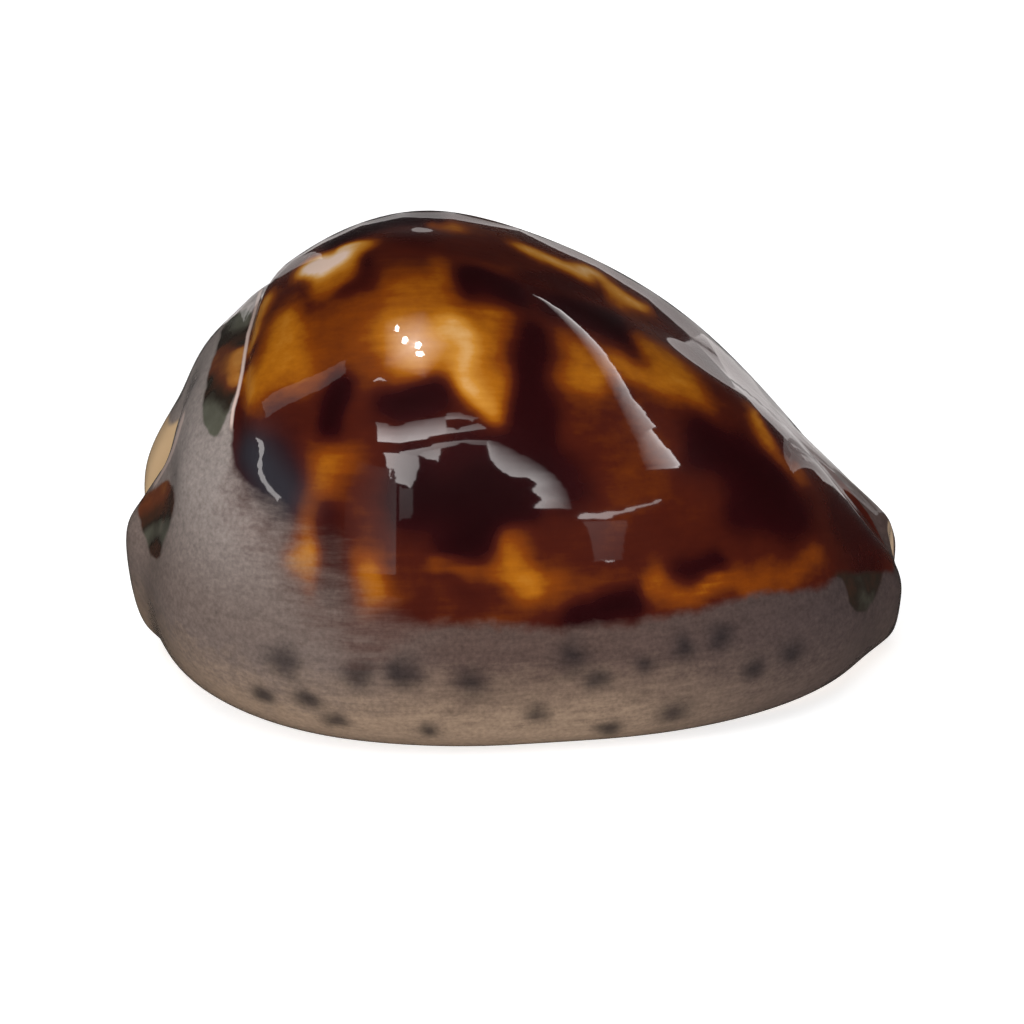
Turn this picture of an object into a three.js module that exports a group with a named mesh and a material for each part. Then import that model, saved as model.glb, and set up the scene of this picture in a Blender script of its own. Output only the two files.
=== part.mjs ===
// A cowrie shell: one grown piece, hollow inside, with a toothed slit along its flat underside.
// Millimetres. +X is the front (narrow) end, +Z is up, and -Y is the side of the outer lip.
// The shell is drawn as a family of meridians. Each one starts at the summit, runs down the
// back, round the margin, across the base to the lip of the slit, and returns inside the wall.

import * as THREE from 'three';

// Outline of the margin, which is the widest level of the shell
const halfLength = 34.3;
const halfWidthOuterLip = 23.8;
const halfWidthInnerLip = 24.6;
const taper = 0.15;
const fullness = { frontFar: 0.34, rearFar: 0.2, rearNear: 0.4, frontNear: 0.46 };
const marginHeight = 10;
const marginRiseRear = 2;
const marginDropFront = 2.6;
const bellyRiseRear = 0.8;
const bellyRiseFront = 2;

// Summit of the back, how its height falls off towards the margin, and its shallow swellings
const summit = { x: -9.1, y: 1, z: 41.6 };
const crown = 0.5;
const capLength = 25.65;
const capWidth = 22.8;
const fallFront = { spread: 2.3, power: 0.94, weight: 2.2 };
const fallRear = { spread: 2.1, power: 0.77, weight: 1.6 };
const fallNear = { spread: 2.7, power: 0.68, weight: 1 };
const fallFar = { spread: 2.7, power: 0.63, weight: 1 };
const bulges = [
  { at: 28, width: 32, height: -0.055, level: 0.79, reach: 0.08 },
  { at: 344, width: 20, height: 0.05, level: 0.8, reach: 0.12 },
  { at: 180, width: 55, height: 0.068, level: 0.74, reach: 0.1 },
];
const levels = [0, 0.13, 0.26, 0.39, 0.52, 0.64, 0.74, 0.83, 0.9, 0.96];
const lobeStart = 0.76;

// Two lobes at each end, and the open canal between them
const lobes = [
  { at: 188, width: 8, out: [-1.8, -1, 3] },
  { at: 163, width: 8, out: [-2, 0.6, 1.8] },
  { at: 350.5, width: 11, out: [2.4, 0, 0.8] },
  { at: 8, width: 9, out: [2.2, 0, 2.3] },
];
const rearCanal = { at: 176.8, width: 6.2, out: [3.2, 0, 6], reach: 1.4 };
const frontCanal = { at: 1.5, width: 4.4, out: [-0.8, 0, 2.6], reach: 0.6 };
const canalWall = 3.2;

// Base: the ring that it rests on, and the upward curve of its two ends
const baseInset = 5.2;
const baseInsetLessRear = 3.4;
const baseInsetLessFront = 4.7;
const baseInsetMoreBelly = 3.5;
const rearSweep = { from: -13, length: 20.5, height: 3.1, power: 2.3 };
const frontSweep = { from: 8, length: 26, height: 2.1, power: 1.8 };
const restSink = 0.22;

// Slit between the lips
const slitHalfLength = 31.9;
const slitMiddle = 0.3;
const slitSharpness = 0.97;
const slitRounding = 7;
const slitHalfGap = 2.9;
const slitGapFront = 0.5;
const slitGapTip = 0.7;
const slitGapRear = 0.4;
const slitOffset = -1.2;
const slitBendRear = 2.5;
const slitBendFront = 1;
const lipHeight = 1.7;
const lipDip = 0.25;

// Teeth: short ridges that cross each lip
const outerTeeth = { pitch: 2.45, height: 0.62, from: -26, to: 28 };
const innerTeeth = { pitch: 2.9, height: 0.48, from: -21, to: 26 };
const toothFade = 4;

// Inside of the wall
const cavityScale = 0.79;
const cavityHeight = 12;
const roofThickness = 3.2;

// Crease where the back meets the swollen collar at the rear end
const crease = { x: -24.6, y: -2, curve: 0.012, depth: 0.95, width: 1.15, reach: 17 };
const pocket = { offset: 2.3, depth: 0.45, width: 1.6 };
const collar = { offset: 5.3, height: 0.4, width: 1.9 };
const creaseLow = 19;
const creaseHigh = 24;
const shellHeart = [-12, 0, 17];

// Mesh density
const meridians = 224;
const backSteps = [
  2, 3, 4, 4.8, 5.5, 6, 6.35, 6.7, 7.05, 7.4, 7.8, 8.4, 9.1, 9.8, 10.5, 11.3, 12.5, 13.7, 14.5, 15.5,
];
const lipSteps = [16.1, 16.8, 17.4, 18, 18.5, 19, 19.7, 20.6];
const insideSteps = [21.8, 23.2, 25, 27.5, 30, 31.8];
const insideSummitStep = 33;
const baseEndStep = 15;

function smooth(x, low, high) {
  const t = THREE.MathUtils.clamp((x - low) / (high - low), 0, 1);
  return t * t * (3 - 2 * t);
}

function angleFrom(angle, degrees) {
  const turn = angle - THREE.MathUtils.degToRad(degrees);
  return THREE.MathUtils.euclideanModulo(turn + Math.PI, 2 * Math.PI) - Math.PI;
}

function swell(angle, shape, power) {
  const ratio = Math.abs(angleFrom(angle, shape.at)) / THREE.MathUtils.degToRad(shape.width);
  return Math.exp(-(ratio ** power));
}

const add = (a, b, scale = 1) => a.map((value, i) => value + b[i] * scale);
const mix = (a, b, t) => a.map((value, i) => value + (b[i] - value) * t);

// How far the base lifts off the ground at a station along the length
function sweep(x) {
  const rear = Math.max(0, (rearSweep.from - x) / rearSweep.length) ** rearSweep.power;
  const front = Math.max(0, (x - frontSweep.from) / frontSweep.length) ** frontSweep.power;
  return rearSweep.height * rear + frontSweep.height * front;
}

// Guide points at one angle around the shell
function guidesAt(angle) {
  const c = Math.cos(angle);
  const s = Math.sin(angle);
  const front = Math.max(c, 0);
  const rear = Math.max(-c, 0);
  const far = Math.max(s, 0);
  const near = Math.max(-s, 0);
  const rearShare = (1 - c) / 2;
  const frontShare = (1 + c) / 2;
  const inRear = swell(angle, rearCanal, 4);
  const inFront = swell(angle, frontCanal, 4);
  const inCanal = inRear + inFront;
  const belly = (2 * near * rear) ** 2;
  const bellyFront = (2 * near * front) ** 2;

  const corner = 1
    + fullness.frontFar * (front * far) ** 2 + fullness.rearFar * (rear * far) ** 2
    + fullness.rearNear * (rear * near) ** 2 + fullness.frontNear * (front * near) ** 2;
  const middleWidth = (halfWidthOuterLip + halfWidthInnerLip) / 2;
  const halfWidth = middleWidth + (halfWidthInnerLip - middleWidth) * Math.tanh(2.5 * s);
  const plainMargin = [
    halfLength * c * corner,
    halfWidth * s * (1 - taper * c) * corner,
    marginHeight + marginRiseRear * rearShare ** 6 - marginDropFront * frontShare ** 4
      + bellyRiseRear * belly + bellyRiseFront * bellyFront,
  ];
  let margin = plainMargin;
  for (const lobe of lobes) margin = add(margin, lobe.out, swell(angle, lobe, 2));
  margin = add(margin, rearCanal.out, inRear);
  margin = add(margin, frontCanal.out, inFront);

  const inset = (baseInset - baseInsetLessRear * rearShare ** 8 - baseInsetLessFront * frontShare ** 8
    + baseInsetMoreBelly * belly) * (1 - 0.75 * inCanal);
  const inward = [-0.2 * margin[0], -margin[1]];
  const inwardLength = Math.hypot(...inward) + 1e-9;
  const restX = margin[0] + inward[0] / inwardLength * inset;
  const restY = margin[1] + inward[1] / inwardLength * inset;
  const rest = [restX, restY, mix([sweep(restX)], [margin[2] - canalWall], inCanal)[0]];

  const along = slitMiddle + slitHalfLength * Math.asin(slitSharpness * c) / Math.asin(slitSharpness);
  const gap = slitHalfGap + slitGapFront * smooth(along, 4, 20) - slitGapTip * smooth(along, 24, 31)
    + slitGapRear * smooth(-along, 22, 31);
  const middle = slitOffset + slitBendRear * smooth(-along, 8, 32) + slitBendFront * smooth(along, 15, 32);
  const lip = [
    along + rearCanal.reach * inRear + frontCanal.reach * inFront,
    middle + gap * Math.tanh(slitRounding * s) / Math.tanh(slitRounding),
    mix([lipHeight + sweep(along)], [margin[2] - canalWall + 0.5], inCanal)[0],
  ];

  const inside = [
    cavityScale * plainMargin[0] + 0.2,
    (cavityScale - 0.01) * plainMargin[1],
    cavityHeight + rearShare + (margin[2] - cavityHeight - 0.5) * inCanal,
  ];
  return { plainMargin, margin, rest, lip, inside, inCanal, along, c, s };
}

// Height left at a share of the way from the summit to the margin, at one angle
function heightLeft(level, angle) {
  const c = Math.cos(angle);
  const s = Math.sin(angle);
  let total = 0;
  let height = 0;
  for (const [fall, facing] of [[fallFront, c], [fallRear, -c], [fallNear, -s], [fallFar, s]]) {
    const weight = fall.weight * Math.max(facing, 0) ** 2;
    total += weight;
    height += weight * (1 - level ** fall.spread) ** fall.power;
  }
  height /= total;
  for (const bulge of bulges) {
    const share = Math.exp(-(((level - bulge.level) / bulge.reach) ** 2));
    height += bulge.height * share * swell(angle, bulge, 2);
  }
  return height;
}

// One point of a dome between its top and its rim
function domePoint(top, rim, level, share, c, s) {
  const cap = [capLength * c, capWidth * s];
  const blend = smooth(level, 0, 0.8);
  const x = top[0] + level * ((1 - blend) * cap[0] + blend * (rim[0] - top[0]));
  const y = top[1] + level * ((1 - blend) * cap[1] + blend * (rim[1] - top[1]));
  return [x, y, rim[2] + (top[2] - rim[2]) * share];
}

// Height of the tooth ridge beside a station along the slit
function toothHeight(along, s) {
  const teeth = s < 0 ? outerTeeth : innerTeeth;
  const present = smooth(along, teeth.from, teeth.from + toothFade) * smooth(-along, -teeth.to, toothFade - teeth.to);
  return teeth.height * present * (0.5 + 0.5 * Math.cos(2 * Math.PI * along / teeth.pitch));
}

// Control points of one meridian, from the summit outside to the summit inside
function meridianControls(angle) {
  const { plainMargin, margin, rest, lip, inside, inCanal, along, c, s } = guidesAt(angle);
  const open = 1 - inCanal;
  const top = [summit.x, summit.y, summit.z];
  const points = [];
  for (const level of levels) {
    const lobeShare = Math.max(0, (level - lobeStart) / (1 - lobeStart)) ** 1.5;
    const rim = mix(plainMargin, margin, lobeShare);
    points.push(domePoint(top, rim, level, heightLeft(level, angle), c, s));
  }
  points[0][2] = summit.z;
  points[1][2] = summit.z - crown;
  points.unshift([2 * top[0] - points[1][0], 2 * top[1] - points[1][1], points[1][2]]);

  points.push(margin);
  for (const degrees of [25, 50, 75]) {
    const turn = THREE.MathUtils.degToRad(degrees);
    const across = mix(rest, margin, Math.cos(turn));
    points.push([across[0], across[1], rest[2] + (margin[2] - rest[2]) * (1 - Math.sin(turn))]);
  }
  points.push(rest);

  const tooth = toothHeight(along, s) * open;
  const across = [lip[0] - rest[0], lip[1] - rest[1]];
  const acrossLength = Math.hypot(...across);
  const inward = [across[0] / acrossLength, across[1] / acrossLength, 0];
  const lipRow = (share, dip, toward, down) => {
    const plain = mix(rest, lip, share);
    points.push(add(add(plain, inward, tooth * toward), [0, 0, -1], dip * open + tooth * down));
  };
  lipRow(0.35, lipDip, 0, 0);
  lipRow(0.65, lipDip, 0, 0.35);
  lipRow(0.88, 0, 0.3, 0.8);
  const edgeRow = (out, up, toward, down) => {
    points.push(add(add(lip, inward, tooth * toward - out), [0, 0, 1], up - tooth * down));
  };
  edgeRow(0, 0.4, 0.9, 0.35);
  edgeRow(0, 1.9, 0.7, 0);
  edgeRow(0.9, 3.2 * (1 - 0.3 * inCanal), 0.2, 0);

  const halfWay = mix(lip, inside, 0.45);
  points.push([halfWay[0], halfWay[1], halfWay[2] + (2.2 - 0.3 * (inside[2] - lip[2])) * open]);
  const nearWall = mix(lip, inside, 0.85);
  points.push([nearWall[0], nearWall[1], lip[2] + (inside[2] - 5 * open - lip[2]) * 0.8]);
  points.push(inside);

  const insideTop = [summit.x + 0.8, summit.y, summit.z - roofThickness];
  for (const level of levels.slice(0, -1).reverse()) {
    points.push(domePoint(insideTop, inside, level, heightLeft(level, angle), c, s));
  }
  const last = points.length - 1;
  points[last][2] = insideTop[2];
  points[last - 1][2] = insideTop[2] - crown;
  points.push([2 * insideTop[0] - points[last - 1][0], 2 * insideTop[1] - points[last - 1][1], points[last - 1][2]]);
  return points;
}

// Point of a uniform cubic B-spline over the control points
function pointAlong(controls, step) {
  const first = Math.min(Math.max(Math.floor(step), 1), controls.length - 3);
  const u = step - first;
  const weights = [(1 - u) ** 3, 3 * u ** 3 - 6 * u ** 2 + 4, -3 * u ** 3 + 3 * u ** 2 + 3 * u + 1, u ** 3];
  let point = [0, 0, 0];
  weights.forEach((weight, i) => {
    point = add(point, controls[first - 1 + i], weight / 6);
  });
  return point;
}

// The crease, the shallow pocket behind it and the swollen collar, pushed along the surface's outward side
function withCrease(point) {
  const [x, y, z] = point;
  const across = y - crease.y;
  const line = crease.x + (across > 0 ? crease.curve * across ** 2 : 0);
  const behind = line - x;
  const sideFade = THREE.MathUtils.clamp(1 - (across / crease.reach) ** 4, 0, 1) ** 2;
  const fade = sideFade * smooth(z, creaseLow, creaseHigh);
  const bell = (offset, width) => Math.exp(-(((behind - offset) / width) ** 2));
  const push = collar.height * bell(collar.offset, collar.width)
    - crease.depth * bell(0, crease.width) - pocket.depth * bell(pocket.offset, pocket.width);
  const outward = new THREE.Vector3(...add(point, shellHeart, -1)).normalize();
  return add(point, outward.toArray(), push * fade);
}

// Lowers the shell a little and flattens what it then rests on
const settle = (point) => [point[0], point[1], Math.max(0, point[2] - restSink)];

function shellGeometry() {
  const columns = [];
  for (let i = 0; i < meridians; i += 1) columns.push(meridianControls(2 * Math.PI * i / meridians));
  const vertices = [];
  const triangles = [];
  const place = (point) => vertices.push(...settle(point)) / 3 - 1;

  function ring(step, stride) {
    const indices = [];
    for (let i = 0; i < meridians; i += stride) {
      const point = pointAlong(columns[i], step);
      indices.push(place(step <= baseEndStep ? withCrease(point) : point));
    }
    return indices;
  }

  // Joins two rings; where one has twice as many points, each of its pairs shares a point of the other
  function band(upper, lower) {
    const count = Math.min(upper.length, lower.length);
    const upperStep = upper.length / count;
    const lowerStep = lower.length / count;
    for (let i = 0; i < count; i += 1) {
      const a = upper[i * upperStep];
      const aMiddle = upper[i * upperStep + upperStep - 1];
      const aNext = upper[(i + 1) * upperStep % upper.length];
      const b = lower[i * lowerStep];
      const bMiddle = lower[i * lowerStep + lowerStep - 1];
      const bNext = lower[(i + 1) * lowerStep % lower.length];
      if (lowerStep > 1) triangles.push(a, b, bMiddle, a, bMiddle, aNext, aNext, bMiddle, bNext);
      else if (upperStep > 1) triangles.push(a, b, aMiddle, aMiddle, b, bNext, aMiddle, bNext, aNext);
      else triangles.push(a, b, bNext, a, bNext, aNext);
    }
  }

  function fan(centre, rim, facing) {
    rim.forEach((index, i) => {
      const next = rim[(i + 1) % rim.length];
      triangles.push(centre, ...(facing > 0 ? [index, next] : [next, index]));
    });
  }

  const rings = [
    ...backSteps.map((step) => ring(step, 2)),
    ...lipSteps.map((step) => ring(step, 1)),
    ...insideSteps.map((step) => ring(step, 2)),
  ];
  fan(place(pointAlong(columns[0], 1)), rings[0], 1);
  for (let i = 1; i < rings.length; i += 1) band(rings[i - 1], rings[i]);
  fan(place(pointAlong(columns[0], insideSummitStep)), rings[rings.length - 1], -1);

  const geometry = new THREE.BufferGeometry();
  geometry.setAttribute('position', new THREE.Float32BufferAttribute(vertices, 3));
  geometry.setIndex(triangles);
  geometry.computeBoundingBox();
  const centre = geometry.boundingBox.getCenter(new THREE.Vector3());
  geometry.translate(-centre.x, -centre.y, 0);
  geometry.computeVertexNormals();
  return geometry;
}

const glaze = new THREE.MeshStandardMaterial({ color: 0x4a2412, roughness: 0.12, metalness: 0 });
const shell = new THREE.Mesh(shellGeometry(), glaze);
shell.name = 'shell';

const cowrie = new THREE.Group();
cowrie.add(shell);

export default cowrie;
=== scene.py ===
import bpy
import math
import numpy as np
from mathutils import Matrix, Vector
from mathutils.bvhtree import BVHTree


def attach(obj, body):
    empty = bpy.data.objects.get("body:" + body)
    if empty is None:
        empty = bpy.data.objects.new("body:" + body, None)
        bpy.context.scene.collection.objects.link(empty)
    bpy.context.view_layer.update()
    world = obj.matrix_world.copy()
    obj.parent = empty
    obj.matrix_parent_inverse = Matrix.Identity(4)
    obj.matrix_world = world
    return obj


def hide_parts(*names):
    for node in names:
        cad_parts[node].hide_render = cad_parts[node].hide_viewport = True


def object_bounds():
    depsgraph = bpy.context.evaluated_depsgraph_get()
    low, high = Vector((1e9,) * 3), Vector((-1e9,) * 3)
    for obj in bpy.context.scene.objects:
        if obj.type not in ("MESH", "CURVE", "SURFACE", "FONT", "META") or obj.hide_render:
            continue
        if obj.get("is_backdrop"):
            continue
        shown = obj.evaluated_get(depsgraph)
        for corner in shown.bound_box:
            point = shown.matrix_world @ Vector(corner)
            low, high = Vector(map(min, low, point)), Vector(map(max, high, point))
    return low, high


# A cowrie shell lying on its base. Shape sizes are in millimetres, as in the solid model.
# +X is the narrow front end, +Z is up, and the camera looks at the outer-lip side (-Y).

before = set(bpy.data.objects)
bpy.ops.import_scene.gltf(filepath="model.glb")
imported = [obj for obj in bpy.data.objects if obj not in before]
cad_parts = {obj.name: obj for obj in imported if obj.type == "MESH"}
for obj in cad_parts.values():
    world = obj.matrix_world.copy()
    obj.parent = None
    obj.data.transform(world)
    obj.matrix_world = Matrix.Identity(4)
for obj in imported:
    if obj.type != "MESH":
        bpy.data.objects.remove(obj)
solidLow, solidHigh = [np.array(corner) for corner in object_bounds()]
print("frame loaded")

# Camera: the photo's view, and the scale at which it shows the shell
viewSetup = {
    "aimAt": (-0.4, -2.3, 14.4),
    "distance": 350,
    "elevation": 30,
    "pixelsPerMillimetre": 10.74,
    "frameWidth": 1024,
    "sensorWidth": 36,
    "clipStart": 0.01,
    "facing": 0.02,                         # turned towards the camera at least this much, to be drawn on
    "sideFade": (-0.02, 0.22),              # where the photo's pattern gives way to the far side's
}


def cameraBasis():
    lift = math.radians(viewSetup["elevation"])
    back = np.array([0, -math.cos(lift), math.sin(lift)])
    right = np.array([1.0, 0, 0])
    up = np.array([0, math.sin(lift), math.cos(lift)])
    eye = np.array(viewSetup["aimAt"]) + back * viewSetup["distance"]
    return eye, right, up, back


def rayThrough(pixel):  # start and direction of the sight line through a point of the photo
    eye, right, up, back = cameraBasis()
    centre = viewSetup["frameWidth"] / 2
    reach = viewSetup["pixelsPerMillimetre"] * viewSetup["distance"]
    direction = right * (pixel[0] - centre) - up * (pixel[1] - centre) - back * reach
    return eye, direction / np.linalg.norm(direction)


def makeCamera():
    eye, _, _, back = cameraBasis()
    camera = bpy.data.objects.new("camera", bpy.data.cameras.new("camera"))
    camera.location = Vector(eye) / 1000
    camera.rotation_euler = Vector(back).to_track_quat("Z", "Y").to_euler()
    camera.data.sensor_width = viewSetup["sensorWidth"]
    camera.data.lens = (viewSetup["sensorWidth"] * viewSetup["pixelsPerMillimetre"]
                        * viewSetup["distance"] / viewSetup["frameWidth"])
    camera.data.clip_start = viewSetup["clipStart"]
    bpy.context.scene.collection.objects.link(camera)
    bpy.context.scene.camera = camera


makeCamera()
print("camera placed")

# Shape of the shell: the same meridians as the solid model, at a finer step
shellShape = {
    "halfLength": 34.3,
    "halfWidthOuterLip": 23.8,
    "halfWidthInnerLip": 24.6,
    "taper": 0.15,
    "fullness": (0.34, 0.2, 0.4, 0.46),     # front far, rear far, rear near, front near
    "marginHeight": 10,
    "marginRiseRear": 2,
    "marginDropFront": 2.6,
    "bellyRise": (0.8, 2),                  # rear, front
    "summit": (-9.1, 1, 41.6),
    "crown": 0.5,
    "cap": (25.65, 22.8),
    "bulges": (                             # angle, width, rise, level, reach
        (28, 32, -0.035, 0.79, 0.08),
        (344, 20, 0.05, 0.8, 0.12),
        (180, 55, 0.068, 0.74, 0.1),
        (190, 11, -0.115, 0.91, 0.07),
    ),
    "levels": (0, 0.13, 0.26, 0.39, 0.52, 0.64, 0.74, 0.83, 0.9, 0.96),
    "lobeStart": 0.76,
    "baseInset": 5.2,
    "insetLess": (3.4, 4.7),                # rear, front
    "insetMoreBelly": 3.5,
    "sweeps": (                             # lift of the base: which end, start, run, height, power
        (-1, 13, 20.5, 3.1, 2.3),
        (1, 8, 26, 2.1, 1.8),
    ),
    "restSink": 0.22,
    "canalWall": 3.2,
    "slitHalfLength": 31.9,
    "slitMiddle": 0.3,
    "slitRoundness": 0.97,
    "slitHalfGap": 2.9,
    "slitGapChanges": ((0.5, 1, 4, 20), (-0.7, 1, 24, 31), (0.4, -1, 22, 31)),   # amount, end, from, to
    "slitOffset": -1.2,
    "slitOffsetChanges": ((2.5, -1, 8, 32), (1, 1, 15, 32)),
    "lipHeight": 1.7,
    "lipRings": (                           # share of the way to the lip, dip, tooth share across and down
        (0.35, 0.25, 0, 0),
        (0.65, 0.25, 0, 0.35),
        (0.88, 0, 0.3, 0.8),
    ),
    "wallRings": (                          # back from the lip, up, less in a canal, tooth across and down
        (0, 0.4, 0, 0.9, 0.35),
        (0, 1.9, 0, 0.7, 0),
        (0.9, 3.2, 0.3, 0.2, 0),
    ),
    "cavityScale": 0.79,
    "cavityHeight": 12,
    "roofThickness": 3.2,
    "roofForward": 0.8,
}
fallOff = {                                 # spread, power, weight of each side's profile
    "front": (2.3, 0.94, 2.2),
    "rear": (2.1, 0.77, 1.6),
    "near": (2.7, 0.68, 1),
    "far": (2.7, 0.63, 1),
}
lobes = [                                   # where, width, push along x, y and z
    (188, 8, (-1.8, -1, 3)),
    (163, 8, (-2, 0.6, 1.8)),
    (350.5, 11, (2.4, 0, 0.8)),
    (8, 9, (2.2, 0, 2.3)),
]
canals = {                                  # where, width, push, reach of the slit's end
    "rear": (176.8, 6.2, (3.2, 0, 6), 1.4),
    "front": (1.5, 4.4, (-0.8, 0, 2.6), 0.6),
}
teeth = {                                   # pitch, height, first, last
    "outer": (2.45, 0.62, -26, 28),
    "inner": (2.9, 0.48, -21, 26),
}
rearCrease = {
    "x": -24.6, "y": -2, "curve": 0.012, "reach": 17, "low": 19, "high": 24,
    "crease": (0, -0.95, 1.15),             # offset behind the line, push, width
    "pocket": (2.3, -0.45, 1.6),
    "collar": (5.3, 0.4, 1.9),
    "heart": (-12, 0, 17),
}
meshSteps = {
    "columns": 600, "backPerLevel": 7, "lipPerLevel": 5, "insidePerLevel": 2,
    "lipStart": 15, "insideStart": 22,      # numbers of the rings of control points
}


def smooth(x, low, high):
    t = np.clip((x - low) / (high - low), 0, 1)
    return t * t * (3 - 2 * t)


def swell(angle, where, width, power):
    turn = (angle - math.radians(where) + math.pi) % (2 * math.pi) - math.pi
    return np.exp(-np.abs(turn / math.radians(width)) ** power)


def stack(x, y, z):
    return np.stack(np.broadcast_arrays(x, y, z), -1)


def sweep(x):  # lift of the base towards its two ends
    return sum(height * np.clip((end * x - start) / run, 0, None) ** power
               for end, start, run, height, power in shellShape["sweeps"])


def alongSlit(start, changes, along):
    return start + sum(amount * smooth(end * along, low, high) for amount, end, low, high in changes)


def guidePoints(angle):
    s = shellShape
    cosine, sine = np.cos(angle), np.sin(angle)
    front, rear = np.clip(cosine, 0, None), np.clip(-cosine, 0, None)
    far, near = np.clip(sine, 0, None), np.clip(-sine, 0, None)
    rearShare, frontShare = (1 - cosine) / 2, (1 + cosine) / 2
    inRear = swell(angle, *canals["rear"][:2], 4)
    inFront = swell(angle, *canals["front"][:2], 4)
    inCanal = inRear + inFront
    belly, bellyFront = (2 * near * rear) ** 2, (2 * near * front) ** 2
    corner = 1 + sum(amount * (a * b) ** 2 for amount, a, b in zip(
        s["fullness"], (front, rear, rear, front), (far, far, near, near)))
    middleWidth = (s["halfWidthOuterLip"] + s["halfWidthInnerLip"]) / 2
    halfWidth = middleWidth + (s["halfWidthInnerLip"] - middleWidth) * np.tanh(2.5 * sine)
    plainMargin = stack(
        s["halfLength"] * cosine * corner,
        halfWidth * sine * (1 - s["taper"] * cosine) * corner,
        s["marginHeight"] + s["marginRiseRear"] * rearShare ** 6 - s["marginDropFront"] * frontShare ** 4
        + s["bellyRise"][0] * belly + s["bellyRise"][1] * bellyFront)
    margin = plainMargin + sum(swell(angle, where, width, 2)[:, None] * np.array(push)
                               for where, width, push in lobes)
    for inOne, canal in ((inRear, canals["rear"]), (inFront, canals["front"])):
        margin = margin + inOne[:, None] * np.array(canal[2])
    inset = (s["baseInset"] - s["insetLess"][0] * rearShare ** 8 - s["insetLess"][1] * frontShare ** 8
             + s["insetMoreBelly"] * belly) * (1 - 0.75 * inCanal)
    inward = np.stack([-0.2 * margin[:, 0], -margin[:, 1]], -1)
    inward /= np.linalg.norm(inward, axis=1)[:, None] + 1e-9
    restX, restY = (margin[:, :2] + inward * inset[:, None]).T
    rest = stack(restX, restY, sweep(restX) * (1 - inCanal) + (margin[:, 2] - s["canalWall"]) * inCanal)
    roundness = s["slitRoundness"]
    along = s["slitMiddle"] + s["slitHalfLength"] * np.arcsin(roundness * cosine) / math.asin(roundness)
    gap = alongSlit(s["slitHalfGap"], s["slitGapChanges"], along)
    middle = alongSlit(s["slitOffset"], s["slitOffsetChanges"], along)
    lip = stack(
        along + canals["rear"][3] * inRear + canals["front"][3] * inFront,
        middle + gap * np.tanh(7 * sine) / math.tanh(7),
        (s["lipHeight"] + sweep(along)) * (1 - inCanal) + (margin[:, 2] - s["canalWall"] + 0.5) * inCanal)
    inside = stack(
        s["cavityScale"] * plainMargin[:, 0] + 0.2,
        (s["cavityScale"] - 0.01) * plainMargin[:, 1],
        s["cavityHeight"] + rearShare + (margin[:, 2] - s["cavityHeight"] - 0.5) * inCanal)
    return plainMargin, margin, rest, lip, inside, inCanal, along


def heightLeft(level, angle):
    cosine, sine = np.cos(angle), np.sin(angle)
    facing = {"front": cosine, "rear": -cosine, "near": -sine, "far": sine}
    total, height = 0, 0
    for side, (spread, power, weight) in fallOff.items():
        share = weight * np.clip(facing[side], 0, None) ** 2
        total = total + share
        height = height + share * (1 - level ** spread) ** power
    height = height / total
    for where, width, rise, at, reach in shellShape["bulges"]:
        height = height + rise * math.exp(-((level - at) / reach) ** 2) * swell(angle, where, width, 2)
    return height


def domePoints(top, rim, level, share, angle):
    blend = smooth(level, 0, 0.8)
    cap = np.stack([shellShape["cap"][0] * np.cos(angle), shellShape["cap"][1] * np.sin(angle)], -1)
    flat = top[:2] + level * ((1 - blend) * cap + blend * (rim[:, :2] - top[:2]))
    return stack(flat[:, 0], flat[:, 1], rim[:, 2] + (top[2] - rim[:, 2]) * share)


def toothHeight(along, sine):
    heights = []
    for pitch, height, first, last in (teeth["outer"], teeth["inner"]):
        present = smooth(along, first, first + 4) * smooth(-along, -last, 4 - last)
        heights.append(height * present * (0.5 + 0.5 * np.cos(2 * math.pi * along / pitch)))
    return np.where(sine < 0, heights[0], heights[1])


def meridianControls(angle):  # rings of control points, from the summit outside to the summit inside
    s = shellShape
    plainMargin, margin, rest, lip, inside, inCanal, along = guidePoints(angle)
    canal = inCanal[:, None]
    upward = np.array([0, 0, 1.0])
    top = np.array(s["summit"], float)
    insideTop = top + (s["roofForward"], 0, -s["roofThickness"])

    def dome(apex, rimStart, rimEnd):
        rings = []
        for level in s["levels"]:
            lobeShare = max(0, (level - s["lobeStart"]) / (1 - s["lobeStart"])) ** 1.5
            rim = rimStart + (rimEnd - rimStart) * lobeShare
            rings.append(domePoints(apex, rim, level, heightLeft(level, angle), angle))
        rings[0][:, 2] = apex[2]
        rings[1][:, 2] = apex[2] - s["crown"]
        ghost = rings[1].copy()
        ghost[:, :2] = 2 * apex[:2] - ghost[:, :2]
        return [ghost] + rings

    rings = dome(top, plainMargin, margin) + [margin]
    for degrees in (25, 50, 75):
        turn = math.radians(degrees)
        ring = rest + (margin - rest) * math.cos(turn)
        ring[:, 2] = rest[:, 2] + (margin[:, 2] - rest[:, 2]) * (1 - math.sin(turn))
        rings.append(ring)
    rings.append(rest)
    tooth = (toothHeight(along, np.sin(angle)) * (1 - inCanal))[:, None]
    across = (lip - rest) * (1, 1, 0)
    across /= np.linalg.norm(across, axis=1)[:, None]
    for share, dip, toward, down in s["lipRings"]:
        rings.append(rest + (lip - rest) * share + across * tooth * toward
                     - upward * (dip * (1 - canal) + tooth * down))
    for out, up, lessInCanal, toward, down in s["wallRings"]:
        rings.append(lip + across * (tooth * toward - out)
                     + upward * (up * (1 - lessInCanal * canal) - tooth * down))
    rise = (inside - lip)[:, 2:]
    rings.append(lip + 0.45 * (inside - lip) + upward * (2.2 - 0.3 * rise) * (1 - canal))
    wall = lip + 0.85 * (inside - lip)
    wall[:, 2:] = lip[:, 2:] + (rise - 5 * (1 - canal)) * 0.8
    rings += [wall, inside]
    rings += dome(insideTop, inside, inside)[-2::-1]
    return np.stack(rings)


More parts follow.
